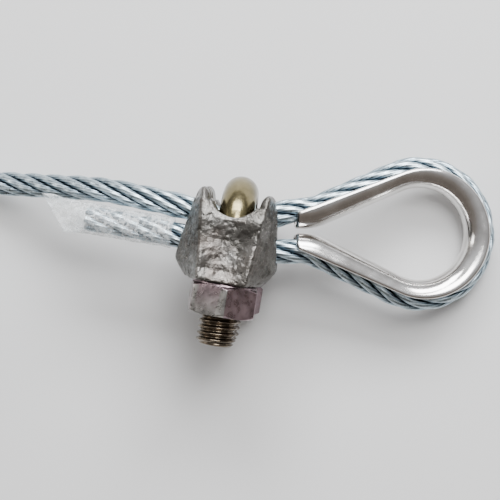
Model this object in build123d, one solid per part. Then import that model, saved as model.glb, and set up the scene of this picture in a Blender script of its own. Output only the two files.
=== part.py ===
"""Wire-rope thimble eye: a 5 mm rope turned round a thimble and held by one M8 U-bolt clip.

The eye lies on a surface at z = 0 with its crown towards +X. The clip stands on one end of
its saddle, so its two legs are one above the other and its nuts face towards -Y.
"""
from build123d import *
from math import asin, atan2, cos, hypot, pi, radians, sin, sqrt, tan
import os

# Wire rope
ROPE_D = 5.2
ROPE_GAP = 0.2                  # between the two ropes in the clip
ROPE_R = ROPE_D / 2

# Thimble: a sheet gutter bent to a teardrop
CROWN_INSIDE_R = 9.5
SHEET = 1.1
GUTTER_R = 2.75
GUTTER_OUTER_R = GUTTER_R + SHEET
LIP_HEIGHT = 1.0                # straight wall past the rope's centre line, before trimming
LIP_CIRCLE = (0.7, 13.5)        # the lips' trimmed edge at the crown: centre on the axis, radius
TIP_LIP_Y = 3.4                 # the lips' trimmed edge at the cut ends, from the axis
HALF_ANGLE = 24.4               # degrees between a straight and the eye's axis
TIP_GAP = 0.8
TIP_BEND_R = 8.0
TIP_X = -26.0                   # cut ends, from the crown's centre
TIP_Y = TIP_GAP / 2 + GUTTER_OUTER_R
CROWN_R = CROWN_INSIDE_R + GUTTER_OUTER_R
CROWN_CORNERS = 8               # corners of the polygon whose rounding is the crown

# Clip, in its own frame: x along the rope, y towards the bow, z from the far leg to the near one
LEG_SPACING = 15.5
ROD_D = 7.1
THREAD_D = 8.0
THREAD_TOP = -3.0
LEG_END = -21.4
LEG_CHAMFER = 0.8
FREE_THREAD_TOP = -15.7         # runout groove just past the nut
GROOVE_WIDTH = 0.6
GROOVE_DEPTH = 0.25
BOW_CLEARANCE = 0.05
HOLE_D = 8.9
LIVE_Y = 3.0
DEAD_Y = LIVE_Y - ROPE_D - ROPE_GAP
BOW_Y = LIVE_Y + ROPE_R + BOW_CLEARANCE - (LEG_SPACING - ROD_D) / 2

# Saddle casting
SADDLE_BOTTOM = -8.8
FOOT_TOP = -5.4                 # the flanks draw in from here to the bottom
SADDLE_RIM = 4.5
HORN_TOP = 9.6
SIDE_SHIFT = -0.6               # the casting's outline against its leg holes
FOOT_HALF_WIDTH = 7.9
BASE_HALF = (10.3, 15.0)        # half width along the rope, half length from leg to leg
RIM_HALF = (8.9, 13.4)
HORN_HALF = (8.2, 11.0)
BASE_END_HALF = 4.9             # half width of the end face, at the bottom, the rim and the horns
RIM_END_HALF = 6.4
HORN_END_HALF = 7.0
SHOULDER = 0.5                  # where an end starts to narrow, as a share of the half length
DIP_R = 5.2
SEAT_CLEARANCE = 0.2
SEAT_R = ROPE_R + SEAT_CLEARANCE
MOUTH_START = 2.4               # where the rope's slot starts to widen, from the middle
MOUTH = (11.5, 6.2)             # where it is widest, and its half width there

# Hexagon nuts
NUT_ACROSS_FLATS = 13.0
NUT_HEIGHT = 6.5
NUT_CHAMFER = 30                # degrees
NUT_BORE_CLEARANCE = 0.05
NUT_SEAT_GAP = 0.1
WASHER_FACE = 0.35
NEAR_NUT_TURN = 23              # degrees from the rope to a corner
FAR_NUT_TURN = 3

# How the eye and the clip lie on the surface
EYE_TILT = 14.0                 # the crown end lies lower
CLIP_TURN = 8.5                 # the clip against the eye's axis, seen from above
CLIP_ROLL = -2.0                # about the rope, positive with the nuts higher than the bow
CLIP_PITCH = 5.0                # about the legs, the eye end lower
CROWN_CENTRE = (30.04, 3.93)
CLIP_FROM_CROWN = (-37.5, -1.8)

# Rope through the clip, in the clip's frame: the bow presses it into a shallow V
PRESSED_X = 2.6                 # half the stretch under the bow
LIVE_BEND = (-7.5, 4.5, 0.0)
LIVE_EXIT = (-14.0, 4.85, -0.3)
DEAD_BEND = (-11.5, -1.0, 0.3)
DEAD_END = (-30.5, -0.9, -0.2)
LEAVE_X = TIP_X - 1.2           # where the rope leaves the gutter, in the eye's frame

# Clear tape sleeve on the dead end, flattened past the rope's end
TAPE_START = 2.5                # from the bend
TAPE_WALL = 0.45
TAPE_CLEARANCE = 0.02
TAPE_TIP = 7.5
TAPE_TIP_HALF = (3.4, 0.5)

# Put-away coil of the free rope
COIL_R = 28.6
COIL_FROM_CROWN = (-131.5, -21.3)
COIL_CENTRE = (CROWN_CENTRE[0] + COIL_FROM_CROWN[0], CROWN_CENTRE[1] + COIL_FROM_CROWN[1])
COIL_TURNS_ACROSS = 2
TIE_WIDTH = 4.0
TIE_WALL = 0.9
TIE_CLEARANCE = 0.12
TIE_ANGLES = (30, 270)
FREE_END_LENGTH = 36.0
FREE_TAPE_LENGTH = 16.0
COIL_HALF = COIL_TURNS_ACROSS * ROPE_R
COIL_BOTTOM = TIE_WALL + TIE_CLEARANCE
COIL_LOW_Z = COIL_BOTTOM + ROPE_R

# Frame of the thimble: x along the eye's axis to the crown, z out of the eye's plane
CROWN_Z = sum(LIP_CIRCLE) * sin(radians(EYE_TILT)) + GUTTER_OUTER_R * cos(radians(EYE_TILT))
eye = Plane(
    origin=(*CROWN_CENTRE, CROWN_Z),
    x_dir=(cos(radians(EYE_TILT)), 0, -sin(radians(EYE_TILT))),
    z_dir=(sin(radians(EYE_TILT)), 0, cos(radians(EYE_TILT))),
)

# Frame of the clip. One far corner of the saddle's base lies on the surface.
turn, roll, pitch = radians(CLIP_TURN), radians(CLIP_ROLL), radians(CLIP_PITCH)
CLIP_Z = (
    BASE_HALF[1] * cos(roll) * cos(pitch)
    + (BASE_END_HALF + SIDE_SHIFT) * cos(roll) * sin(pitch)
    + SADDLE_BOTTOM * sin(roll)
)
rope_way = Vector(cos(turn), -sin(turn), 0)
upright = Vector(sin(turn) * sin(roll), cos(turn) * sin(roll), cos(roll))
clip = Plane(
    origin=(CROWN_CENTRE[0] + CLIP_FROM_CROWN[0], CROWN_CENTRE[1] + CLIP_FROM_CROWN[1], CLIP_Z),
    x_dir=rope_way * cos(pitch) - upright * sin(pitch),
    z_dir=upright * cos(pitch) + rope_way * sin(pitch),
)


def gutter_corners():
    """Corners of the rope's line round the thimble, in the eye's plane, upper tip to lower tip."""
    half = radians(HALF_ANGLE)
    apex = CROWN_R / sin(half)
    bend_x = -apex + TIP_Y / tan(half)
    step = (pi + 2 * half) / CROWN_CORNERS
    reach = CROWN_R / cos(step / 2)
    first = pi / 2 + half - step / 2
    crown = [
        (reach * cos(first - k * step), reach * sin(first - k * step)) for k in range(CROWN_CORNERS)
    ]
    return [(bend_x, TIP_Y), *crown, (bend_x, -TIP_Y)]


def gutter_radii():
    """One radius for each corner of gutter_corners."""
    return [TIP_BEND_R, *[CROWN_R * 0.995] * CROWN_CORNERS, TIP_BEND_R]


def tube(path, diameter):
    """A round solid along a path."""
    return sweep(Plane(path @ 0, z_dir=path % 0) * Circle(diameter / 2), path=path)


def arc_radii(points):
    """Largest arc at each corner that leaves a tenth of the shorter run straight."""
    radii = []
    for before, corner, after in zip(points, points[1:], points[2:]):
        arriving = Vector(*corner) - Vector(*before)
        leaving = Vector(*after) - Vector(*corner)
        half_turn = radians(arriving.get_angle(leaving)) / 2
        radii.append(0.45 * min(arriving.length, leaving.length) / tan(half_turn))
    return radii


def in_clip(x, y, z):
    """A point of the clip's frame as a point of the whole part."""
    return tuple(clip.from_local_coords((x, y, z)))


def in_eye(x, y):
    """A point of the eye's plane as a point of the whole part."""
    return tuple(eye.from_local_coords((x, y, 0)))


def lip_outline():
    """Trimmed edge of the thimble's lips, in the eye's plane: a circle drawn in to the tips."""
    centre_x, radius = LIP_CIRCLE
    end_x = TIP_X - 1
    reach = hypot(centre_x - end_x, TIP_LIP_Y)
    slope = asin(radius / reach) - atan2(TIP_LIP_Y, centre_x - end_x)
    touch = (centre_x - radius * sin(slope), radius * cos(slope))
    wedge = [(end_x, TIP_LIP_Y), touch, (touch[0], -touch[1]), (end_x, -TIP_LIP_Y)]
    return make_face(Polyline(*wedge, close=True)) + Pos(centre_x, 0) * Circle(radius)


def make_thimble():
    """Gutter of U section, open outwards, along the rope's line round the eye."""
    corners = [(TIP_X, TIP_Y), *gutter_corners(), (TIP_X, -TIP_Y)]
    line = FilletPolyline(*corners, radius=gutter_radii())
    outer, inner = [
        Circle(radius) + Pos(-LIP_HEIGHT, 0) * Rectangle(2 * LIP_HEIGHT, 2 * radius)
        for radius in (GUTTER_OUTER_R, GUTTER_R)
    ]
    open_side = Pos(-LIP_HEIGHT - GUTTER_OUTER_R, 0) * Rectangle(2 * GUTTER_OUTER_R, 3 * GUTTER_OUTER_R)
    section = outer - inner - open_side
    gutter_plane = Plane(origin=(TIP_X, TIP_Y, 0), x_dir=(0, -1, 0), z_dir=(1, 0, 0))
    gutter = sweep(gutter_plane * section, path=line)
    return eye * (gutter & extrude(lip_outline(), GUTTER_OUTER_R + 1, both=True))


def live_side():
    """Corners of the live rope through the clip, up to the thimble."""
    pressed = [(-PRESSED_X, LIVE_Y, 0), (PRESSED_X, LIVE_Y, 0)]
    return [in_clip(*point) for point in [LIVE_EXIT, LIVE_BEND, *pressed]] + [in_eye(LEAVE_X, TIP_Y)]


def dead_side():
    """Corners of the dead rope from the thimble through the clip to its cut end."""
    pressed = [(PRESSED_X, DEAD_Y, 0), (-PRESSED_X, DEAD_Y, 0)]
    return [in_eye(LEAVE_X, -TIP_Y)] + [in_clip(*point) for point in [*pressed, DEAD_BEND, DEAD_END]]


def make_eye_rope():
    """The held rope, one piece from the live side of the clip to the dead end."""
    corners = live_side() + [in_eye(*corner) for corner in gutter_corners()] + dead_side()
    radii = arc_radii(corners)
    clip_corners = len(live_side()) - 1
    radii[clip_corners:clip_corners + CROWN_CORNERS + 2] = gutter_radii()
    return tube(FilletPolyline(*corners, radius=radii), ROPE_D)


def rope_ways():
    """Room for each rope through the saddle, wherever it turns aside from the seat."""
    upper_bend, lower_bend = gutter_corners()[0], gutter_corners()[-1]
    for corners in (live_side() + [in_eye(*upper_bend)], [in_eye(*lower_bend)] + dead_side()):
        yield tube(FilletPolyline(*corners, radius=arc_radii(corners)), 2 * SEAT_R)


def threaded_leg(side):
    """Threaded end of one leg, as a plain cylinder of the thread's outer diameter."""
    stretches = [
        (THREAD_TOP, FREE_THREAD_TOP, THREAD_D),
        (FREE_THREAD_TOP, FREE_THREAD_TOP - GROOVE_WIDTH, THREAD_D - 2 * GROOVE_DEPTH),
        (FREE_THREAD_TOP - GROOVE_WIDTH, LEG_END, THREAD_D),
    ]
    leg = Part()
    for top, bottom, diameter in stretches:
        start = Plane((0, top, side * LEG_SPACING / 2), z_dir=(0, -1, 0))
        leg += extrude(start * Circle(diameter / 2), top - bottom)
    return chamfer(leg.edges().sort_by(Axis.Y)[0], LEG_CHAMFER)


def u_shape(diameter):
    """A round solid along the U-bolt's bow and both legs, down to the threads."""
    half = LEG_SPACING / 2
    near = Line((0, THREAD_TOP - 1, half), (0, BOW_Y, half))
    bow = ThreePointArc((0, BOW_Y, half), (0, BOW_Y + half, 0), (0, BOW_Y, -half))
    far = Line((0, BOW_Y, -half), (0, THREAD_TOP - 1, -half))
    return tube(Wire([near, bow, far]), diameter)


def make_u_bolt():
    """Round rod bent to a U, with rolled threads on both legs."""
    return clip * (u_shape(ROD_D) + threaded_leg(1) + threaded_leg(-1))


def saddle_section(height, half_size, end_half):
    """Outline of the saddle across its legs: a block whose two ends narrow."""
    half_width, half_length = half_size
    shoulder = half_length * SHOULDER
    side = [(half_width, shoulder), (end_half, half_length)]
    outline = side + [(-x, y) for x, y in reversed(side)]
    outline += [(-x, -y) for x, y in outline]
    outline = [(x + SIDE_SHIFT, y) for x, y in outline]
    level = Plane(origin=(0, height, 0), x_dir=(1, 0, 0), z_dir=(0, -1, 0))
    return level * make_face(Polyline(*outline, close=True))


def make_saddle():
    """Cast saddle: base, two leg bosses, a seat for the dead rope and four horns beside it."""
    levels = [
        (SADDLE_BOTTOM, (FOOT_HALF_WIDTH, BASE_HALF[1]), BASE_END_HALF),
        (FOOT_TOP, BASE_HALF, BASE_END_HALF),
        (SADDLE_RIM, RIM_HALF, RIM_END_HALF),
        (HORN_TOP, HORN_HALF, HORN_END_HALF),
    ]
    sections = [saddle_section(*level) for level in levels]
    body = Part() + [loft(pair, ruled=True) for pair in zip(sections, sections[1:])]
    length = 2 * BASE_HALF[1]
    body -= Pos(SIDE_SHIFT, SADDLE_RIM + DIP_R, 0) * Cylinder(DIP_R, length)
    body -= Pos(0, DEAD_Y, 0) * Rot(0, 90, 0) * Cylinder(SEAT_R, length)
    mouth_x, mouth_half = MOUTH
    half_slot = [(mouth_x, mouth_half), (MOUTH_START, SEAT_R)]
    slot = half_slot + [(-x, y) for x, y in reversed(half_slot)]
    slot += [(-x, -y) for x, y in slot]
    seat_level = Plane(origin=(0, DEAD_Y, 0), x_dir=(1, 0, 0), z_dir=(0, 1, 0))
    body -= extrude(seat_level * make_face(Polyline(*slot, close=True)), length)
    body -= u_shape(HOLE_D)
    for side in (1, -1):
        leg_line = Pos(0, BOW_Y - length, side * LEG_SPACING / 2) * Rot(90, 0, 0)
        body -= leg_line * Cylinder(HOLE_D / 2, 2 * length)
    saddle = clip * body
    for way in rope_ways():
        saddle -= way
    return saddle


def make_nut(side, turn_deg):
    """Hexagon nut with chamfered corners and a washer face against the saddle."""
    top = SADDLE_BOTTOM - NUT_SEAT_GAP
    corner_r = NUT_ACROSS_FLATS / sqrt(3)
    flat_r = NUT_ACROSS_FLATS / 2
    drop = (corner_r - flat_r) * tan(radians(NUT_CHAMFER))
    outline = [
        (0, 0), (flat_r, 0), (flat_r, WASHER_FACE), (corner_r, WASHER_FACE + drop),
        (corner_r, NUT_HEIGHT - drop), (flat_r, NUT_HEIGHT), (0, NUT_HEIGHT),
    ]
    turned = revolve(Plane.XZ * make_face(Polyline(*outline, close=True)), Axis.Z)
    hexagon = extrude(RegularPolygon(corner_r, 6, rotation=turn_deg), NUT_HEIGHT)
    washer = Cylinder(flat_r, WASHER_FACE, align=(Align.CENTER, Align.CENTER, Align.MIN))
    bore = Cylinder(THREAD_D / 2 + NUT_BORE_CLEARANCE, 3 * NUT_HEIGHT)
    nut = (turned & hexagon) + (washer & hexagon) - bore
    seat = Plane(origin=(0, top, side * LEG_SPACING / 2), x_dir=(1, 0, 0), z_dir=(0, -1, 0))
    return clip * seat * nut


def make_dead_end_tape():
    """Clear tape sleeve round the dead end, flattened past the rope's end."""
    bend, end = Vector(*DEAD_BEND), Vector(*DEAD_END)
    along = (end - bend).normalized()
    first = bend + along * TAPE_START
    round_r = ROPE_R + TAPE_WALL
    profiles = []
    for point, half_y, half_z in (
        (first, round_r, round_r),
        (end, round_r + 0.4, round_r + 0.1),
        (end + along * TAPE_TIP, *TAPE_TIP_HALF),
    ):
        level = Plane(origin=point, x_dir=(0, 1, 0), z_dir=along)
        profiles.append(level * Ellipse(half_y, half_z))
    sleeve = loft(profiles, ruled=True)
    rope = Plane(origin=first - along, z_dir=along) * Circle(ROPE_R + TAPE_CLEARANCE)
    return clip * (sleeve - extrude(rope, (end - first).length + 1 + TAPE_CLEARANCE))


def live_route():
    """Corners of the free rope from the clip to the coil, chosen by hand."""
    crown_x, crown_y = CROWN_CENTRE
    coil_x, coil_y = COIL_CENTRE
    outside_y = coil_y + COIL_R + ROPE_R
    exit_point = Vector(*in_clip(*LIVE_EXIT))
    away = (exit_point - Vector(*in_clip(*LIVE_BEND))).normalized()
    return [
        tuple(exit_point),
        tuple(exit_point + away * 6.0),
        (crown_x - 65.0, crown_y + 7.8, 15.4),
        (crown_x - 75.0, crown_y + 8.35, 11.4),
        (crown_x - 85.0, crown_y + 8.9, 6.9),
        (crown_x - 95.0, crown_y + 9.5, 3.9),
        (crown_x - 107.0, outside_y + 0.2, 3.1),
        (coil_x + 9.0, outside_y, COIL_LOW_Z),
    ]


def make_live_rope():
    """Free rope from the clip to its coil."""
    corners = live_route()
    radii = arc_radii(corners)
    path = FilletPolyline(*corners, radius=radii)
    rope = tube(path, ROPE_D)
    print("live_rope radii", [round(radius, 1) for radius in radii], "length", round(path.length, 1),
          "volume / (section x length)", round(rope.volume / (pi * ROPE_R**2 * path.length), 4))
    return rope


def make_coil():
    """Outer shape of the wound rope: a ring two ropes wide and two ropes high."""
    section = Plane.XZ * (Pos(COIL_R, COIL_BOTTOM + COIL_HALF)
                          * RectangleRounded(2 * COIL_HALF, 2 * COIL_HALF, ROPE_R * 0.95))
    return Pos(*COIL_CENTRE, 0) * revolve(section, Axis.Z)


def make_coil_tie(angle):
    """Band round the wound turns."""
    outer = 2 * (COIL_HALF + TIE_CLEARANCE + TIE_WALL)
    inner = 2 * (COIL_HALF + TIE_CLEARANCE)
    centre_z = COIL_BOTTOM + COIL_HALF
    band = RectangleRounded(outer, outer, ROPE_R) - RectangleRounded(inner, inner, ROPE_R * 0.9)
    at_ring = Plane.XZ * (Pos(COIL_R, centre_z) * band)
    return Pos(*COIL_CENTRE, 0) * Rot(0, 0, angle) * extrude(at_ring, TIE_WIDTH / 2, both=True)


def free_end(start, length, outer_r, inner_r=0.0):
    """A straight stretch at the free end, leaving the coil towards -Y."""
    coil_x, coil_y = COIL_CENTRE
    place = Plane(origin=(coil_x - COIL_R - ROPE_R, coil_y - start, COIL_LOW_Z), z_dir=(0, -1, 0))
    section = Circle(outer_r) - Circle(inner_r) if inner_r else Circle(outer_r)
    return place * extrude(section, length)


nodes = {
    "thimble": make_thimble(),
    "eye_rope": make_eye_rope(),
    "u_bolt": make_u_bolt(),
    "saddle": make_saddle(),
    "near_nut": make_nut(1, NEAR_NUT_TURN),
    "far_nut": make_nut(-1, FAR_NUT_TURN),
    "dead_end_tape": make_dead_end_tape(),
    "live_rope": make_live_rope(),
    "live_rope_coil": make_coil(),
    "live_rope_end": free_end(0, FREE_END_LENGTH, ROPE_R),
    "free_end_tape": free_end(FREE_END_LENGTH - FREE_TAPE_LENGTH, FREE_TAPE_LENGTH,
                              ROPE_R + TAPE_WALL, ROPE_R + TAPE_CLEARANCE),
}
for number, tie_angle in enumerate(TIE_ANGLES, 1):
    nodes[f"coil_tie_{number}"] = make_coil_tie(tie_angle)

os.makedirs("parts", exist_ok=True)
for name, shape in nodes.items():
    export_step(shape, f"parts/{name}.step")
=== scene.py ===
"""Thimble eye: galvanised wire rope round a steel thimble, held by a U-bolt clip."""
import math
import bpy
import numpy as np
from mathutils import Matrix, Vector, noise


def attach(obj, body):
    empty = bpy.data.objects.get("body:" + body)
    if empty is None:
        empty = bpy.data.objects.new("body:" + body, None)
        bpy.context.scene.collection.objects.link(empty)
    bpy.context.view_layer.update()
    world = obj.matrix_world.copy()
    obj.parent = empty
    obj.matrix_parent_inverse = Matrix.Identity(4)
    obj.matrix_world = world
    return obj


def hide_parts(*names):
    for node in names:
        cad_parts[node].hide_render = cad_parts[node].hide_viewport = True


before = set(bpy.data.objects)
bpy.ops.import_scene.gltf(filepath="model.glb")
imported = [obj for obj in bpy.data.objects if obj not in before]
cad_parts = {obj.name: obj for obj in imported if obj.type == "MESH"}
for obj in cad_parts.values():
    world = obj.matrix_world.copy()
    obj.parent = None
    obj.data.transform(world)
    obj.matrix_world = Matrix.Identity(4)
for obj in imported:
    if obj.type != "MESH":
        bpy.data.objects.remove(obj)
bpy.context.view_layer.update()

MM = 0.001
ROOT = "rope_and_bolt"

# Rope, in millimetres, as every size below
ROPE_D = 5.2
ROPE_R = ROPE_D / 2
STRANDS = 6
STRAND_R = 0.86
STRAND_LINE_R = ROPE_R - STRAND_R
ROPE_LAY = 34.0                 # one turn of a strand
WIRES = 9                       # wires seen round a strand
WIRE_LAY = 15.0                 # one turn of a wire round its strand
WIRE_DEPTH = 0.13               # depth of the valleys between wires

# Thimble
CROWN_R = 13.35
SHEET = 1.1
GUTTER_R = 2.75
GUTTER_OUTER_R = GUTTER_R + SHEET
TIP_X = -26.0
TIP_Y = 4.25
HALF_ANGLE = math.radians(24.4)
LIP_HEIGHT = 1.0
TIP_BEND_R = 8.0
LIP_CIRCLE = (0.7, 13.5)        # trimmed edge of the lips: centre along x, radius
TIP_LIP_Y = 3.4

# Clip
LEG_SPACING = 15.5
ROD_R = 3.55
THREAD_R = 4.0
THREAD_ROOT_R = 3.38
THREAD_PITCH = 1.25
THREAD_TOP = -3.0
LEG_END = -21.4
LEG_CHAMFER = 0.8
LIVE_Y = 3.0
DEAD_Y = LIVE_Y - ROPE_D - 0.2
BOW_Y = LIVE_Y + ROPE_R + 0.05 - (LEG_SPACING / 2 - ROD_R)
SADDLE_BOTTOM = -8.8
BASE_END_HALF = 4.9
BASE_FAR_CORNER = (4.3, 15.0)   # along the rope, away from the camera

# Skin of the casting
SIDE_SHIFT = -0.6               # the casting's middle against its leg holes
VOXEL = 0.26
SMOOTHING = 45
END_FACE = 9.0                  # the end faces lie further out than this
END_SLOPE = 0.13                # widening of half an end face for each mm of height
END_HOLLOW = (0.35, 1.15)       # depth of its hollow, and how much more below the rim
HOLLOW_FADE = (4.0, 2.5)        # heights over which that fades, below the rim and above the bottom
HORN_X = 6.6                    # middle of a horn from the saddle's middle
HORN_R = 1.6                    # rounding of its top
HORN_NECK = 7.0
LUMPS = (0.22, 0.22)            # lumps for each mm, height
PITS = (0.7, 0.35, 0.12)        # pits for each mm, depth, how much of the skin they leave whole
PIT_OFFSET = (9, 3, 5)          # keeps the pits apart from the lumps

# Nuts
NUT_HEIGHT = 6.5
NUT_FLAT_R = 6.5
NUT_FILM = (0.9, 0.0, 0.3, 0.1, 0.5, 0.1)           # share of pink film on each flat
FACE_FILM = (0.9, 0.9)          # share of it on the face towards the saddle, and how far it reaches
NUTS = {"near_nut": (1, 23), "far_nut": (-1, 3)}    # side of the clip, turn in degrees

# Places on the surface
CROWN = (30.04, 3.93)
EYE_TILT = math.radians(14.0)
CLIP_TURN = math.radians(8.5)
CLIP_ROLL = math.radians(-2.0)
CLIP_PITCH = math.radians(5.0)
CLIP_FROM_CROWN = (-37.5, -1.8)

# Rope through the clip, in the clip's frame
PRESSED_X = 2.6
LIVE_BEND = (-7.5, 4.5, 0.0)
LIVE_EXIT = (-14.0, 4.85, -0.3)
DEAD_BEND = (-11.5, -1.0, 0.3)
DEAD_END = (-30.5, -0.9, -0.2)

# Tape on the cut ends
TAPE_TIP = 7.5
TAPE_TIP_HALF = 3.6
FREE_TAPE = 16.0

# Coil of the rope that isn't seen
COIL_TURNS = 3.25
FREE_END = 36.0
COIL_CENTRE = (CROWN[0] - 131.5, CROWN[1] - 21.3)
COIL_R = 28.6
COIL_LOW_Z = 0.9 + 0.12 + ROPE_R


def frame_matrix(origin, x_dir, z_dir):
    """Matrix of a local frame, from its origin and two of its axes."""
    x_axis, z_axis = Vector(x_dir).normalized(), Vector(z_dir).normalized()
    y_axis = z_axis.cross(x_axis)
    matrix = Matrix((x_axis, y_axis, z_axis)).transposed().to_4x4()
    matrix.translation = Vector(origin)
    return matrix


def eye_frame():
    """The thimble's frame: x along the eye's axis to the crown, z out of the eye's plane."""
    height = sum(LIP_CIRCLE) * math.sin(EYE_TILT) + GUTTER_OUTER_R * math.cos(EYE_TILT)
    x_dir = (math.cos(EYE_TILT), 0, -math.sin(EYE_TILT))
    return frame_matrix((*CROWN, height), x_dir, (math.sin(EYE_TILT), 0, math.cos(EYE_TILT)))


def clip_frame():
    """The clip's frame: x along the rope, y to the bow, z from the far leg to the near one."""
    turn, roll, pitch = CLIP_TURN, CLIP_ROLL, CLIP_PITCH
    corner_x, corner_z = BASE_FAR_CORNER
    height = (math.cos(roll) * (corner_z * math.cos(pitch) + corner_x * math.sin(pitch))
              + SADDLE_BOTTOM * math.sin(roll))
    origin = (CROWN[0] + CLIP_FROM_CROWN[0], CROWN[1] + CLIP_FROM_CROWN[1], height)
    rope_way = Vector((math.cos(turn), -math.sin(turn), 0))
    upright = Vector((math.sin(turn) * math.sin(roll), math.cos(turn) * math.sin(roll), math.cos(roll)))
    return frame_matrix(origin, rope_way * math.cos(pitch) - upright * math.sin(pitch),
                        upright * math.cos(pitch) + rope_way * math.sin(pitch))


EYE, CLIP = eye_frame(), clip_frame()


def in_eye(x, y, z=0.0):
    """A point of the eye's frame as a point of the part."""
    return tuple(EYE @ Vector((x, y, z)))


def in_clip(x, y, z=0.0):
    """A point of the clip's frame as a point of the part."""
    return tuple(CLIP @ Vector((x, y, z)))


def placed(points, matrix):
    """An array of local points in millimetres as points of the part in metres."""
    rotation = np.array(matrix.to_3x3())
    return (points @ rotation.T + np.array(matrix.translation)) * MM


# ---------------------------------------------------------------- camera, light and stage

def make_camera():
    """Long lens nearly straight above, as in the photograph."""
    camera = bpy.data.objects.new("camera", bpy.data.cameras.new("camera"))
    bpy.context.scene.collection.objects.link(camera)
    camera.location = Vector((CROWN[0] + 6.8, CROWN[1] - 8.5, 361.5)) * MM
    camera.rotation_euler = [math.radians(angle) for angle in (0.86, 6.735, 1.25)]
    camera.data.lens = 122.8
    camera.data.sensor_width = 36
    camera.data.clip_start = 0.01
    bpy.context.scene.camera = camera


def area_light(name, place, aim, size, power, colour=(1, 1, 1)):
    """A rectangular light at a place in metres, turned towards another."""
    data = bpy.data.lights.new(name, "AREA")
    data.shape = "RECTANGLE"
    data.size, data.size_y = size
    data.energy = power
    data.color = colour
    light = bpy.data.objects.new(name, data)
    light.location = Vector(place)
    light.rotation_euler = (Vector(aim) - Vector(place)).to_track_quat("-Z", "Y").to_euler()
    bpy.context.scene.collection.objects.link(light)


def fill_ramp(ramp, stops):
    """Give a colour ramp these (position, colour) stops."""
    while len(ramp.elements) < len(stops):
        ramp.elements.new(0.5)
    for element, (position, colour) in zip(ramp.elements, stops):
        element.position = position
        element.color = (*colour, 1)


def make_lights():
    """A window behind the bow, a lamp overhead, and surroundings that darken away from the window."""
    area_light("window", (0.10, 0.62, 0.50), (0.02, 0, 0), (0.7, 0.3), 11.0, (0.97, 0.985, 1.0))
    area_light("ceiling", (0.14, 0.20, 0.48), (0.02, 0.02, 0), (0.2, 0.2), 1.9)
    area_light("left", (-0.55, 0.10, 0.30), (0, 0, 0.01), (0.12, 0.30), 0.7, (1.0, 0.98, 0.95))
    world = bpy.data.worlds.new("studio")
    bpy.context.scene.world = world
    world.use_nodes = True
    nodes, links = world.node_tree.nodes, world.node_tree.links
    background = nodes["Background"]
    coordinates = nodes.new("ShaderNodeTexCoord")
    toward_window = nodes.new("ShaderNodeVectorMath")
    toward_window.operation = "DOT_PRODUCT"
    toward_window.inputs[1].default_value = (0.1, 0.62, 0.62)
    ramp = nodes.new("ShaderNodeValToRGB")
    fill_ramp(ramp.color_ramp, [(0.0, (0.20, 0.175, 0.155)), (0.3, (0.28, 0.255, 0.235)),
                                (0.6, (0.50, 0.50, 0.51)), (0.9, (0.95, 0.96, 0.98))])
    links.new(coordinates.outputs["Generated"], toward_window.inputs[0])
    links.new(toward_window.outputs["Value"], ramp.inputs[0])
    links.new(ramp.outputs[0], background.inputs["Color"])
    background.inputs["Strength"].default_value = 0.9


def make_floor():
    """Plain pale surface that the part lies on."""
    half = 1.5
    mesh = bpy.data.meshes.new("floor")
    corners = [(-half, -half, 0), (half, -half, 0), (half, half, 0), (-half, half, 0)]
    mesh.from_pydata(corners, [], [(0, 1, 2, 3)])
    floor = bpy.data.objects.new("floor", mesh)
    bpy.context.scene.collection.objects.link(floor)
    material = bpy.data.materials.new("floor")
    material.use_nodes = True
    shader = material.node_tree.nodes["Principled BSDF"]
    shader.inputs["Base Color"].default_value = (0.78, 0.78, 0.78, 1)
    shader.inputs["Roughness"].default_value = 0.6
    mesh.materials.append(material)


# ---------------------------------------------------------------- materials

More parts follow.
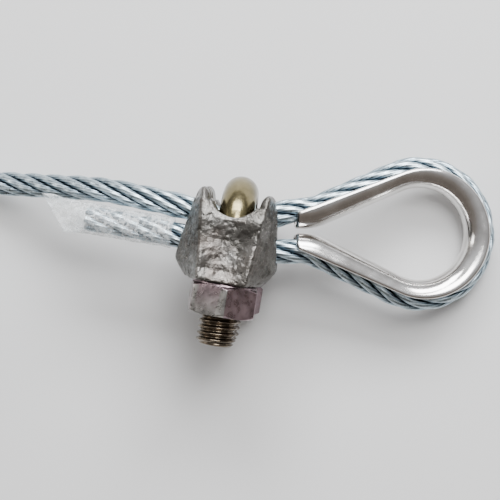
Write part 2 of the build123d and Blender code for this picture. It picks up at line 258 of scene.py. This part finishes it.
class Shader:
    """A principled material and short calls that add procedural nodes to it."""

    def __init__(self, name, metallic=0.0, roughness=0.5, **constants):
        self.material = bpy.data.materials.new(name)
        self.material.use_nodes = True
        self.nodes = self.material.node_tree.nodes
        self.links = self.material.node_tree.links
        self.bsdf = self.nodes["Principled BSDF"]
        self.bsdf.inputs["Metallic"].default_value = metallic
        self.bsdf.inputs["Roughness"].default_value = roughness
        for key, value in constants.items():
            self.bsdf.inputs[key.replace("_", " ")].default_value = value
        self.place = self.nodes.new("ShaderNodeTexCoord").outputs["Object"]

    def noise(self, scale, detail=4.0, roughness=0.6, stretch=None):
        """Noise in the piece's own space, scale being lumps for each metre."""
        node = self.nodes.new("ShaderNodeTexNoise")
        node.inputs["Scale"].default_value = scale
        node.inputs["Detail"].default_value = detail
        node.inputs["Roughness"].default_value = roughness
        source = self.place
        if stretch:
            mapping = self.nodes.new("ShaderNodeMapping")
            mapping.inputs["Scale"].default_value = stretch
            self.links.new(source, mapping.inputs["Vector"])
            source = mapping.outputs["Vector"]
        self.links.new(source, node.inputs["Vector"])
        return node.outputs["Fac"]

    def attribute(self, name):
        """A value stored on the mesh's points."""
        node = self.nodes.new("ShaderNodeAttribute")
        node.attribute_name = name
        return node.outputs["Fac"]

    def ramp(self, factor, stops):
        """Colours or grey values at positions of a factor."""
        node = self.nodes.new("ShaderNodeValToRGB")
        fill_ramp(node.color_ramp, [(position, value if isinstance(value, tuple) else (value,) * 3)
                                    for position, value in stops])
        self.links.new(factor, node.inputs["Fac"])
        return node.outputs["Color"]

    def mix(self, factor, first, second, blend="MIX"):
        """Two colours mixed, each one a socket or a constant."""
        node = self.nodes.new("ShaderNodeMix")
        node.data_type = "RGBA"
        node.blend_type = blend
        for value, socket in ((factor, node.inputs["Factor"]), (first, node.inputs["A"]),
                              (second, node.inputs["B"])):
            if isinstance(value, bpy.types.NodeSocket):
                self.links.new(value, socket)
            elif isinstance(value, tuple):
                socket.default_value = (*value, 1)
            else:
                socket.default_value = value
        return node.outputs["Result"]

    def link(self, source, socket):
        self.links.new(source, self.bsdf.inputs[socket])

    def bump(self, layers):
        """Bump from (height, depth in metres) pairs, one on top of another."""
        previous = None
        for height, depth in layers:
            node = self.nodes.new("ShaderNodeBump")
            node.inputs["Distance"].default_value = depth
            self.links.new(height, node.inputs["Height"])
            if previous:
                self.links.new(previous, node.inputs["Normal"])
            previous = node.outputs["Normal"]
        self.links.new(previous, self.bsdf.inputs["Normal"])


def rope_material():
    """Bright galvanised wire: bluish zinc, with painted shade darkening the valleys between the strands
    and between the wires.
    """
    shader = Shader("galvanised_wire", metallic=1.0, roughness=0.34)
    depth = shader.attribute("valley_shade")
    patches = shader.ramp(shader.noise(900, 5), [(0.3, (0.52, 0.62, 0.68)),
                                                 (0.65, (0.80, 0.92, 0.97))])
    # Painted shade: the base colour is multiplied down to near black where a point lies deep inside the
    # rope or between wires.
    painted_valley_shade = shader.ramp(depth, [(0.0, (1.0, 1.0, 1.0)), (0.38, (0.48, 0.52, 0.56)),
                               (0.8, (0.06, 0.075, 0.09))])
    shader.link(shader.mix(1.0, patches, painted_valley_shade, "MULTIPLY"), "Base Color")
    shader.link(shader.ramp(shader.noise(1500, 4), [(0.3, 0.24), (0.75, 0.46)]), "Roughness")
    shader.bump([(shader.noise(4000, 3), 0.00003)])
    return shader.material


def thimble_material():
    """Polished stainless sheet with faint drawing lines and handling haze."""
    shader = Shader("polished_stainless", metallic=1.0, roughness=0.14)
    haze = shader.noise(160, 5)
    lines = shader.noise(500, 3, stretch=(0.15, 0.15, 6.0))
    tone = shader.ramp(haze, [(0.35, (0.66, 0.64, 0.62)), (0.7, (0.86, 0.85, 0.84))])
    shader.link(tone, "Base Color")
    shader.link(shader.ramp(haze, [(0.35, 0.10), (0.75, 0.24)]), "Roughness")
    shader.bump([(lines, 0.000012), (shader.noise(60, 2), 0.00008)])
    return shader.material


def saddle_material():
    """Galvanised casting: grey zinc, brown and pink stains, shiny high spots, rough pits."""
    shader = Shader("galvanised_casting", metallic=0.9, roughness=0.4)
    broad = shader.noise(110, 6, 0.7)
    fine = shader.noise(1200, 4, 0.7)
    zinc = shader.ramp(broad, [(0.30, (0.035, 0.032, 0.028)), (0.46, (0.095, 0.09, 0.082)),
                               (0.6, (0.185, 0.18, 0.17)), (0.76, (0.46, 0.455, 0.44))])
    stain = shader.ramp(shader.noise(70, 4), [(0.48, 0.0), (0.72, 0.5)])
    zinc = shader.mix(stain, zinc, (0.15, 0.115, 0.10))
    shader.link(zinc, "Base Color")
    shader.link(shader.ramp(fine, [(0.3, 0.20), (0.7, 0.44)]), "Roughness")
    shader.bump([(shader.noise(330, 5, 0.65), 0.0004), (fine, 0.00008)])
    return shader.material


def rod_material(name, low, high):
    """Yellow zinc on steel rod, low and high being its darker and lighter tones."""
    shader = Shader(name, metallic=1.0, roughness=0.26)
    tone = shader.ramp(shader.noise(240, 5), [(0.3, low), (0.7, high)])
    shader.link(tone, "Base Color")
    shader.link(shader.ramp(shader.noise(700, 4), [(0.3, 0.13), (0.75, 0.30)]), "Roughness")
    shader.bump([(shader.noise(900, 4), 0.00004)])
    return shader.material


def nut_material():
    """Zinc-plated nut, some of its faces under a pink film."""
    shader = Shader("zinc_nut", metallic=1.0, roughness=0.3)
    cloud = shader.noise(300, 5)
    zinc = shader.ramp(cloud, [(0.3, (0.17, 0.165, 0.16)), (0.7, (0.45, 0.44, 0.42))])
    pink = shader.ramp(cloud, [(0.3, (0.19, 0.14, 0.155)), (0.7, (0.42, 0.30, 0.33))])
    shader.link(shader.mix(shader.attribute("film"), zinc, pink), "Base Color")
    shader.link(shader.ramp(shader.noise(800, 5), [(0.3, 0.2), (0.75, 0.45)]), "Roughness")
    shader.bump([(shader.noise(420, 5), 0.00012)])
    return shader.material


def tape_material():
    """Clear tape, cloudy where it is creased."""
    shader = Shader("clear_tape", roughness=0.16, IOR=1.47)
    cloud = shader.noise(260, 5, 0.65)
    tone = shader.ramp(cloud, [(0.35, (0.74, 0.80, 0.83)), (0.62, (0.97, 0.99, 1.0))])
    creases = shader.ramp(cloud, [(0.36, 0.42), (0.44, 0.10), (0.50, 0.68), (0.55, 0.13), (0.68, 0.80)])
    shader.link(tone, "Base Color")
    shader.link(creases, "Alpha")
    shader.bump([(shader.noise(520, 4), 0.0005)])
    return shader.material


def tie_material():
    """Natural nylon, faintly grained."""
    shader = Shader("natural_nylon", roughness=0.45)
    grain = shader.noise(900, 4)
    tone = shader.ramp(grain, [(0.3, (0.78, 0.77, 0.72)), (0.7, (0.88, 0.87, 0.83))])
    shader.link(tone, "Base Color")
    shader.bump([(grain, 0.00003)])
    return shader.material


# ---------------------------------------------------------------- mesh helpers

def mesh_object(name, vertices, faces, material, smooth=True):
    mesh = bpy.data.meshes.new(name)
    mesh.from_pydata([tuple(v) for v in vertices], [], faces)
    mesh.update()
    mesh.materials.append(material)
    if smooth:
        mesh.shade_smooth()
    made = bpy.data.objects.new(name, mesh)
    bpy.context.scene.collection.objects.link(made)
    return made


def strip_faces(rings, points, first=0, closed=True):
    """Quads between rings of the same number of points."""
    faces = []
    last = points if closed else points - 1
    for ring in range(rings - 1):
        low, high = first + ring * points, first + (ring + 1) * points
        for point in range(last):
            after = (point + 1) % points
            faces.append((low + point, low + after, high + after, high + point))
    return faces


def point_values(made, name, values):
    """Store one value for each point of a mesh, for its material."""
    layer = made.data.attributes.new(name, "FLOAT", "POINT")
    layer.data.foreach_set("value", np.array(values, dtype=np.float32))


def resampled(points, step):
    """Points at even steps along a line."""
    lengths = np.concatenate([[0], np.cumsum(np.linalg.norm(np.diff(points, axis=0), axis=1))])
    count = max(2, int(round(lengths[-1] / step)) + 1)
    at = np.linspace(0, lengths[-1], count)
    return np.stack([np.interp(at, lengths, points[:, axis]) for axis in range(3)], 1), at


def side_frames(points, first_side=(0, 0, 1)):
    """Two unit vectors across a line at each point, carried along it without twist."""
    tangents = np.gradient(points, axis=0)
    tangents /= np.linalg.norm(tangents, axis=1)[:, None]
    side = np.array(first_side, float)
    sides = []
    for tangent in tangents:
        side = side - tangent * side.dot(tangent)
        side /= np.linalg.norm(side)
        sides.append(side)
    sides = np.array(sides)
    return tangents, sides, np.cross(tangents, sides)


# ---------------------------------------------------------------- rope

def nurbs_line(corners, resolution=16):
    """Points along the smooth curve that has these corners, in metres."""
    data = bpy.data.curves.new("route", "CURVE")
    data.dimensions = "3D"
    spline = data.splines.new("NURBS")
    spline.points.add(len(corners) - 1)
    for point, corner in zip(spline.points, corners):
        point.co = (corner[0] * MM, corner[1] * MM, corner[2] * MM, 1)
    spline.order_u = 3
    spline.use_endpoint_u = True
    spline.resolution_u = resolution
    carrier = bpy.data.objects.new("route", data)
    bpy.context.scene.collection.objects.link(carrier)
    bpy.context.view_layer.update()
    mesh = bpy.data.meshes.new_from_object(carrier)
    line = np.array([vertex.co[:] for vertex in mesh.vertices])
    bpy.data.objects.remove(carrier)
    bpy.data.meshes.remove(mesh)
    return line


def held_corners():
    """Corners of the held rope, from the live side of the clip to the dead end."""
    apex = CROWN_R / math.sin(HALF_ANGLE)
    bend_x = -apex + TIP_Y / math.tan(HALF_ANGLE)
    crown_corners = 8
    step = (math.pi + 2 * HALF_ANGLE) / crown_corners
    reach = CROWN_R / math.cos(step / 2)
    first = math.pi / 2 + HALF_ANGLE - step / 2
    crown = [(reach * math.cos(first - k * step), reach * math.sin(first - k * step))
             for k in range(crown_corners)]
    along = (math.cos(HALF_ANGLE), math.sin(HALF_ANGLE))
    near_crown = (crown[0][0] - 6.8 * along[0], crown[0][1] - 6.8 * along[1])
    near_bend = (bend_x + 3.0 * along[0], TIP_Y + 3.0 * along[1])
    upper = [(TIP_X - 1.2, TIP_Y), (bend_x, TIP_Y), near_bend, near_crown]
    lower = [(x, -y) for x, y in reversed(upper)]
    live = [LIVE_EXIT, LIVE_BEND, (-PRESSED_X, LIVE_Y, 0), (PRESSED_X, LIVE_Y, 0)]
    dead = [(PRESSED_X, DEAD_Y, 0), (-PRESSED_X, DEAD_Y, 0), DEAD_BEND, DEAD_END]
    return ([in_clip(*point) for point in live] + [in_eye(*point) for point in upper + crown + lower]
            + [in_clip(*point) for point in dead])


def free_corners():
    """Corners of the free rope: from the clip to the coil, and its turns."""
    exit_point = Vector(in_clip(*LIVE_EXIT))
    away = (exit_point - Vector(in_clip(*LIVE_BEND))).normalized()
    coil_x, coil_y = COIL_CENTRE
    outside_y = coil_y + COIL_R + ROPE_R
    corners = [
        tuple(exit_point),
        tuple(exit_point + away * 6.0),
        (CROWN[0] - 65.0, CROWN[1] + 7.8, 15.4),
        (CROWN[0] - 75.0, CROWN[1] + 8.35, 11.4),
        (CROWN[0] - 85.0, CROWN[1] + 8.9, 6.9),
        (CROWN[0] - 95.0, CROWN[1] + 9.5, 3.9),
        (CROWN[0] - 107.0, outside_y + 0.2, 3.1),
        (coil_x + 9.0, outside_y, COIL_LOW_Z),
    ]
    return corners + coil_corners()


def coil_slot(turns):
    """Where the rope lies in the coil's section, out and up from its lowest outer place."""
    lap, share = divmod(turns, 1.0)
    shifting = min(share, 0.25)
    angle = -math.pi / 4 - math.pi / 2 * (lap + 4 * shifting)
    out, up = math.sqrt(2) * ROPE_R * math.cos(angle), math.sqrt(2) * ROPE_R * math.sin(angle)
    if lap == 2 and share > 0.25:
        up -= ROPE_D * min(1.0, (share - 0.25) / 0.1, (1.0 - share) / 0.1)
    return out, max(up, -ROPE_R - 0.9)


def coil_corners():
    """Three and a quarter turns, wound four strands deep where the rope comes in and leaves."""
    per_turn = 18
    count = round(COIL_TURNS * per_turn)
    stretch = 1 / math.cos(math.pi / per_turn)
    corners = []
    for corner in range(count):
        turns = (corner + 0.5) / per_turn
        out, up = coil_slot(turns)
        angle = math.pi / 2 + 2 * math.pi * turns
        radius = (COIL_R + out) * stretch
        corners.append((COIL_CENTRE[0] + radius * math.cos(angle),
                        COIL_CENTRE[1] + radius * math.sin(angle), COIL_LOW_Z + ROPE_R + up))
    return corners


def free_end_corners():
    """The free end leaves the coil straight towards -Y."""
    x, y = COIL_CENTRE[0] - COIL_R - ROPE_R, COIL_CENTRE[1]
    return [(x, y - 8.0, COIL_LOW_Z), (x, y - 20.0, COIL_LOW_Z), (x, y - FREE_END, COIL_LOW_Z)]


def strand_bundle(name, line, at, sides, ups, material):
    """Six laid strands of scalloped section and their core, along a line in metres."""
    count = len(line)
    points = WIRES * 3
    angles = np.linspace(0, 2 * np.pi, points, endpoint=False)
    scallop = np.abs(np.sin(WIRES * angles / 2))
    vertices, faces, valleys = [], [], []
    tangents = np.gradient(line, axis=0)
    tangents /= np.linalg.norm(tangents, axis=1)[:, None]
    for strand in range(STRANDS + 1):
        core = strand == STRANDS
        turn = at / (ROPE_LAY * MM) * 2 * np.pi + strand * 2 * np.pi / STRANDS
        out = np.cos(turn)[:, None] * sides + np.sin(turn)[:, None] * ups
        across = -np.sin(turn)[:, None] * sides + np.cos(turn)[:, None] * ups
        line_r = 0.0 if core else STRAND_LINE_R * MM
        centre = line + out * line_r
        rate = line_r * 2 * np.pi / (ROPE_LAY * MM)
        strand_tangent = tangents + across * rate
        strand_tangent /= np.linalg.norm(strand_tangent, axis=1)[:, None]
        strand_across = np.cross(strand_tangent, out)
        twist = -at / (WIRE_LAY * MM) * 2 * np.pi
        phi = angles[None, :] + twist[:, None]
        radius = (STRAND_R - WIRE_DEPTH + WIRE_DEPTH * scallop) * MM
        ring = (centre[:, None, :]
                + (radius * np.cos(phi))[:, :, None] * out[:, None, :]
                + (radius * np.sin(phi))[:, :, None] * strand_across[:, None, :])
        first = len(vertices)
        vertices.extend(ring.reshape(-1, 3))
        faces.extend(strip_faces(count, points, first))
        caps = first + count * points
        vertices.extend(ring[0])
        vertices.extend(ring[-1])
        faces.append(tuple(range(caps, caps + points)))
        faces.append(tuple(range(caps + points, caps + 2 * points))[::-1])
        # Painted shade: how deep each point lies inside the rope and between the wires, stored on the
        # points so the material darkens them.
        depth = np.linalg.norm(ring - line[:, None, :], axis=2) / (ROPE_R * MM)
        valley_shade = np.clip((0.97 - depth) / 0.36, 0, 1) + 0.3 * (1 - scallop)[None, :]
        valley_shade = np.concatenate([valley_shade, valley_shade[:1], valley_shade[-1:]])
        valleys.extend(np.clip(valley_shade, 0, 1).reshape(-1))
    made = mesh_object(name, vertices, faces, material)
    point_values(made, "valley_shade", valleys)
    return made


def make_ropes(material):
    """The held rope and the free rope as one laid rope, parted where it leaves the clip."""
    held, held_at = resampled(nurbs_line(held_corners()), 0.55 * MM)
    free_line = nurbs_line(free_corners() + free_end_corners())
    free, free_at = resampled(free_line, 1.1 * MM)
    whole = np.concatenate([free[::-1], held[1:]])
    _, sides, ups = side_frames(whole)
    joint = len(free) - 1
    free_phase = (free_at[-1] - free_at[::-1])
    held_phase = free_at[-1] + held_at
    held_rope = strand_bundle("rope_strands", held, held_phase, sides[joint:], ups[joint:], material)
    free_rope = strand_bundle("free_rope_strands", free[::-1], free_phase, sides[:joint + 1],
                              ups[:joint + 1], material)
    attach(held_rope, ROOT)
    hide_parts("eye_rope")
    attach(free_rope, ROOT)
    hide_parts("live_rope", "live_rope_coil", "live_rope_end")
    return free_rope, free


# ---------------------------------------------------------------- thimble

def thimble_line():
    """Points of the gutter's centre line in the eye's plane, with their outward normals."""
    half = HALF_ANGLE
    apex = CROWN_R / math.sin(half)
    bend_x = -apex + TIP_Y / math.tan(half)
    tangent = TIP_BEND_R * math.tan(half / 2)
    points = [(TIP_X, TIP_Y)]
    for share in np.linspace(0, 1, 10):
        turn = half * share
        points.append((bend_x - tangent + TIP_BEND_R * math.sin(turn),
                       TIP_Y + TIP_BEND_R * (1 - math.cos(turn))))
    for angle in np.linspace(math.pi / 2 + half, 0, 70):
        points.append((CROWN_R * math.cos(angle), CROWN_R * math.sin(angle)))
    points += [(x, -y) for x, y in reversed(points[:-1])]
    line, at = resampled(np.array([(x, y, 0.0) for x, y in points]), 0.3)
    close = np.array([0.0, 0.04, 0.12, 0.25, 0.4])
    at = np.concatenate([close, at[2:-2], at[-1] - close[::-1]])
    _, whole = resampled(line, 0.3)
    line = np.stack([np.interp(at, whole, line[:, axis]) for axis in range(2)], 1)
    tangents = np.gradient(line, at, axis=0)
    tangents /= np.linalg.norm(tangents, axis=1)[:, None]
    return line, at, np.stack([-tangents[:, 1], tangents[:, 0]], 1)


def inside_lip(x, y):
    """Is a point of the eye's plane inside the trimmed edge of the lips?"""
    centre_x, radius = LIP_CIRCLE
    if math.hypot(x - centre_x, y) < radius:
        return True
    reach = math.hypot(centre_x - TIP_X + 1, TIP_LIP_Y)
    slope = math.asin(radius / reach) - math.atan2(TIP_LIP_Y, centre_x - TIP_X + 1)
    touch_x = centre_x - radius * math.sin(slope)
    return x < touch_x and abs(y) < TIP_LIP_Y + (x - TIP_X + 1) * math.tan(slope)


def lip_height(point, normal):
    """How far the lips stand out from the gutter's line, up to LIP_HEIGHT."""
    low, high = -GUTTER_R, LIP_HEIGHT
    if inside_lip(*(point + normal * high)):
        return high
    for _ in range(20):
        middle = (low + high) / 2
        low, high = (middle, high) if inside_lip(*(point + normal * middle)) else (low, middle)
    return low


def gutter_section(height, thickness):
    """Outline of the sheet across the gutter: (outward, up) with both lips rounded."""
    middle_r = GUTTER_R + SHEET / 2
    quarter = middle_r * math.pi / 2
    ends = quarter + height if height > 0 else middle_r * (math.pi / 2 + math.asin(height / middle_r))
    ends -= SHEET / 2

    def place(along, offset):
        turned = max(-quarter, min(quarter, along)) / middle_r
        straight = max(0.0, abs(along) - quarter)
        radius = middle_r + offset
        return straight - radius * math.cos(turned), radius * math.sin(turned)

    outer = [place(ends * f, thickness) for f in np.linspace(-1, 1, 33)]
    inner = [place(ends * f, -thickness) for f in np.linspace(1, -1, 33)]
    cap = []
    for angle in np.linspace(0, math.pi, 8)[1:-1]:
        reach = thickness * math.sin(angle)
        cap.append(place(ends + reach, thickness * math.cos(angle)))
    other = [(out, -up) for out, up in reversed(cap)]
    return outer + cap + inner + other


def make_thimble():
    """Gutter of polished sheet round the eye, its lips and tips rounded."""
    line, at, normals = thimble_line()
    edge = SHEET / 2
    rings = []
    for point, distance, normal in zip(line, at, normals):
        from_end = min(distance, at[-1] - distance, edge)
        thickness = max(0.03, math.sqrt(edge ** 2 - (edge - from_end) ** 2))
        section = np.array(gutter_section(lip_height(point, normal), thickness))
        ring = np.zeros((len(section), 3))
        ring[:, :2] = point + normal * section[:, :1]
        ring[:, 2] = section[:, 1]
        rings.append(ring)
    count = len(rings[0])
    faces = strip_faces(len(rings), count)
    faces += [tuple(range(count)), tuple(range((len(rings) - 1) * count, len(rings) * count))[::-1]]
    vertices = placed(np.concatenate(rings), EYE)
    thimble = mesh_object("thimble_gutter", vertices, faces, thimble_material())
    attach(thimble, ROOT)
    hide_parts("thimble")


# ---------------------------------------------------------------- clip

def make_u_bolt(rod_finish, thread_finish):
    """Bent rod and its two rolled threads."""
    half = LEG_SPACING / 2
    path = [(0, y, half) for y in np.linspace(THREAD_TOP - 0.5, BOW_Y, 12)[:-1]]
    path += [(0, BOW_Y + half * math.sin(a), half * math.cos(a)) for a in np.linspace(0, math.pi, 41)]
    path += [(0, y, -half) for y in np.linspace(BOW_Y, THREAD_TOP - 0.5, 12)[1:]]
    path = np.array(path)
    tangents, sides, ups = side_frames(path, (1, 0, 0))
    around = np.linspace(0, 2 * np.pi, 48, endpoint=False)
    rings = (path[:, None, :] + ROD_R * (np.cos(around)[None, :, None] * sides[:, None, :]
                                         + np.sin(around)[None, :, None] * ups[:, None, :]))
    bow = mesh_object("bow", placed(rings.reshape(-1, 3), CLIP), strip_faces(len(path), 48), rod_finish)
    pieces = [bow]
    for name, side in (("near_thread", 1), ("far_thread", -1)):
        pieces.append(make_thread(name, side * half, thread_finish))
    for piece in pieces:
        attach(piece, ROOT)
        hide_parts("u_bolt")


def make_thread(name, across, finish):
    """Right-hand thread of one leg, fading into the rod, with a chamfered end."""
    points = 72
    around = np.linspace(0, 2 * np.pi, points, endpoint=False)
    distance = np.arange(-THREAD_TOP - 0.4, -LEG_END, 0.1)
    distance = np.append(distance, -LEG_END)
    phase = (distance[:, None] / THREAD_PITCH - around[None, :] / (2 * np.pi)) % 1.0
    ridge = np.clip(1.35 * np.abs(2 * phase - 1) - 0.15, 0, 1)
    ridge = ridge * ridge * (3 - 2 * ridge) * 0.5 + ridge * 0.5
    fade = np.clip((distance + THREAD_TOP + 0.4) / 1.2, 0, 1)[:, None]
    radius = ROD_R + fade * (THREAD_ROOT_R - ROD_R + (THREAD_R - THREAD_ROOT_R) * ridge)
    to_end = (-LEG_END - distance)[:, None]
    radius = np.minimum(radius, THREAD_R - LEG_CHAMFER + to_end)
    rings = np.stack([radius * np.cos(around), np.broadcast_to(-distance[:, None], radius.shape),
                      radius * np.sin(around) + across], 2)
    last = rings[-1]
    centre = last.mean(0)
    closing = [centre + (last - centre) * share for share in (0.97, 0.9, 0.5, 0.1)]
    rings = np.concatenate([rings, np.array(closing)])
    rings[-4:-3, :, 1] -= 0.06
    rings[-3:, :, 1] -= 0.08
    faces = strip_faces(len(rings), points)
    faces.append(tuple(range((len(rings) - 1) * points, len(rings) * points)))
    return mesh_object(name, placed(rings.reshape(-1, 3), CLIP), faces, finish)


def clamped(value):
    return min(1.0, max(0.0, value))


def hollow_depth(x, y):
    """Depth of an end face's hollow at a point of it, none at its two side edges."""
    across = min(1.0, abs(x - SIDE_SHIFT) / (BASE_END_HALF + (y - SADDLE_BOTTOM) * END_SLOPE))
    from_rim, from_bottom = HOLLOW_FADE
    low = clamped((from_rim - y) / from_rim) * clamped((y - SADDLE_BOTTOM) / from_bottom)
    return (1 - across ** 2) * (END_HOLLOW[0] + END_HOLLOW[1] * low)


def horn_drop(x, y):
    """How far a horn's top falls away at a point of it, none on its middle line."""
    off_middle = min(1.0, abs(abs(x - SIDE_SHIFT) - HORN_X) / HORN_R)
    return off_middle ** 2 * min(1.0, (y - HORN_NECK) / HORN_R) * HORN_R


def make_saddle(finish):
    """The CAD saddle with the round edges and lumpy skin of a casting."""
    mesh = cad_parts["saddle"].data.copy()
    saddle = bpy.data.objects.new("saddle_casting", mesh)
    bpy.context.scene.collection.objects.link(saddle)
    saddle.matrix_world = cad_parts["saddle"].matrix_world.copy()
    remesh = saddle.modifiers.new("remesh", "REMESH")
    remesh.mode = "VOXEL"
    remesh.voxel_size = VOXEL * MM
    smooth = saddle.modifiers.new("smooth", "SMOOTH")
    smooth.factor = 0.5
    smooth.iterations = SMOOTHING
    bpy.context.view_layer.update()
    shaped = bpy.data.meshes.new_from_object(saddle.evaluated_get(bpy.context.evaluated_depsgraph_get()))
    saddle.modifiers.clear()
    saddle.data = shaped
    normals = [Vector(vertex.normal) for vertex in shaped.vertices]
    to_clip = CLIP.inverted()
    for vertex, normal in zip(shaped.vertices, normals):
        place = vertex.co / MM
        x, y, z = to_clip @ place
        outward = (CLIP.to_3x3() @ Vector((0, 0, math.copysign(1, z)))).dot(normal)
        if outward > 0.6 and abs(z) > END_FACE:
            vertex.co -= normal * hollow_depth(x, y) * MM
        if y > HORN_NECK:
            vertex.co -= CLIP.to_3x3() @ Vector((0, horn_drop(x, y), 0)) * MM
        lumps = noise.fractal(place * LUMPS[0], 0.9, 2.1, 3) * LUMPS[1]
        pits = noise.fractal(place * PITS[0] + Vector(PIT_OFFSET), 0.8, 2.2, 4) + PITS[2]
        vertex.co += normal * (lumps + min(0.0, pits) * PITS[1]) * MM
    shaped.materials.clear()
    shaped.materials.append(finish)
    shaped.shade_smooth()
    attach(saddle, "saddle")
    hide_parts("saddle")


def rounded_outline(points, radius, steps=3):
    """A closed outline with each corner replaced by a small curve between two support points."""
    rounded = []
    for index, corner in enumerate(points):
        corner = np.array(corner, float)
        arms = []
        for other in (points[index - 1], points[(index + 1) % len(points)]):
            arm = np.array(other, float) - corner
            length = np.linalg.norm(arm)
            cut = min(radius, 0.45 * length)
            arms.append((arm / max(length, 1e-9), cut))
        (back, back_cut), (on, on_cut) = arms
        start, end = corner + back * back_cut, corner + on * on_cut
        rounded.append(corner + back * back_cut * 1.1)
        for share in np.linspace(0, 1, steps + 1):
            pull = 2 * share * (1 - share)
            rounded.append((1 - share) ** 2 * start + pull * corner + share ** 2 * end)
        rounded.append(corner + on * on_cut * 1.1)
    return rounded


def hexagon_radius(angle, edge=0.35):
    """Distance from the nut's axis to its rounded hexagon, angle being from a corner."""
    centre = (NUT_FLAT_R - edge) / math.cos(math.pi / 6)
    limit = math.atan2(edge * 0.5, centre + edge * math.cos(math.pi / 6))
    if abs(angle) <= limit:
        return centre * math.cos(angle) + math.sqrt(edge ** 2 - (centre * math.sin(angle)) ** 2)
    return NUT_FLAT_R / math.cos(math.pi / 6 - abs(angle))


def make_nut(name, side, turn_deg, finish):
    """Hexagon nut with chamfered corners, soft edges and a washer face."""
    from_corner = [-1.5, -0.75, 0, 0.75, 1.5, 2.2, 6, 12, 18, 24, 30, 36, 42, 48, 54, 57.8]
    rings, films = [], []
    for corner, film in enumerate(NUT_FILM):
        for degrees in from_corner:
            off_corner = degrees if degrees < 30 else degrees - 60
            radius = hexagon_radius(math.radians(off_corner))
            drop = (radius - NUT_FLAT_R) * math.tan(math.radians(30))
            outline = [(4.05, 0.45), (4.5, 0), (NUT_FLAT_R - 0.02, 0), (NUT_FLAT_R, 0.35),
                       (radius, 0.37 + drop), (radius, NUT_HEIGHT - 0.02 - drop),
                       (NUT_FLAT_R - 0.02, NUT_HEIGHT), (4.5, NUT_HEIGHT), (4.05, NUT_HEIGHT - 0.45)]
            angle = math.radians(turn_deg + 60 * corner + degrees)
            top = SADDLE_BOTTOM - 0.1
            # the nut's own x and y lie along the clip's x and z
            rings.append([(r * math.cos(angle), top - z, side * LEG_SPACING / 2 + r * math.sin(angle))
                          for r, z in rounded_outline(outline, 0.16)])
            films += [max(film, FACE_FILM[0] if z < FACE_FILM[1] else 0.0)
                      for r, z in rounded_outline(outline, 0.16)]
    count = len(rings[0])
    rings.append(rings[0])
    vertices = np.array(rings[:-1]).reshape(-1, 3)
    wrapped = len(vertices)
    faces = [tuple(index % wrapped for index in face) for face in strip_faces(len(rings), count)]
    nut = mesh_object(name + "_hexagon", placed(vertices, CLIP), faces, finish)
    point_values(nut, "film", films)
    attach(nut, name)
    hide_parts(name)


# ---------------------------------------------------------------- tapes

def sleeve(name, line, sizes, material, seed, wrinkle=0.16, slant=0.0):
    """A crumpled sleeve round a line, its section's half width and half height given per point."""
    tangents, sides, ups = side_frames(line)
    points = 64
    around = np.linspace(0, 2 * np.pi, points, endpoint=False)
    vertices = []
    for index, (place, (width, height)) in enumerate(zip(line, sizes)):
        share = index / (len(line) - 1)
        for angle in around:
            across, up = math.cos(angle), math.sin(angle)
            skew = tangents[index] * slant * across * max(0.0, share - 0.6) / 0.4
            spot = place + ups[index] * across * width + sides[index] * up * height + skew
            seeded = Vector(spot) + Vector((seed, 2 * seed, 0))
            crease = noise.fractal(seeded * 0.45, 0.7, 2.3, 4)
            crease += 0.6 - abs(noise.noise(seeded * 0.8)) * 2.2
            push = ups[index] * across + sides[index] * up
            vertices.append(spot + push * wrinkle * crease * min(1.0, height / 1.5 + 0.35))
    faces = strip_faces(len(line), points)
    faces.append(tuple(range((len(line) - 1) * points, len(line) * points)))
    made = mesh_object(name, np.array(vertices) * MM, faces, material)
    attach(made, ROOT)
    return made


def make_tapes(free_path):
    """Clear tape round both cut ends, the dead end's pressed flat past the rope."""
    finish = tape_material()
    bend, end = Vector(in_clip(*DEAD_BEND)), Vector(in_clip(*DEAD_END))
    along = (end - bend).normalized()
    rope_length = (end - bend).length
    distances = np.arange(1.0, rope_length + TAPE_TIP, 0.35)
    line = np.array([bend + along * distance for distance in distances])
    sizes = []
    for distance in distances:
        past = min(1.0, max(0.0, (distance - rope_length + 1.0) / TAPE_TIP))
        eased = past * past * (3 - 2 * past)
        across = ROPE_R + 0.5 + (TAPE_TIP_HALF - ROPE_R - 0.5) * eased
        sizes.append((across, (ROPE_R + 0.45) * (1 - eased) + 0.35))
    tape = sleeve("dead_end_wrap", line, sizes, finish, 3.0, slant=3.0)
    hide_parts("dead_end_tape")
    finish_line = np.array(free_path[::-1]) / MM
    line, at = resampled(finish_line, 0.4)
    line = line[at < FREE_TAPE][::-1]
    sizes = [(ROPE_R + 0.4, ROPE_R + 0.4)] * len(line)
    tape = sleeve("free_end_wrap", line, sizes, finish, 8.0, wrinkle=0.1)
    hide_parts("free_end_tape")
    return tape


make_camera()
make_floor()
make_lights()
free_rope, free_path = make_ropes(rope_material())
make_thimble()
rod_finish = rod_material("yellow_zinc_rod", (0.12, 0.10, 0.05), (0.28, 0.24, 0.135))
thread_finish = rod_material("yellow_zinc_thread", (0.085, 0.068, 0.05), (0.22, 0.18, 0.135))
make_u_bolt(rod_finish, thread_finish)
make_saddle(saddle_material())
nut_finish = nut_material()
for nut, (side, turn_deg) in NUTS.items():
    make_nut(nut, side, turn_deg, nut_finish)
free_wrap = make_tapes(free_path)
tie_finish = tie_material()
for tie in ("coil_tie_1", "coil_tie_2"):
    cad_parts[tie].data.materials.clear()
    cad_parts[tie].data.materials.append(tie_finish)
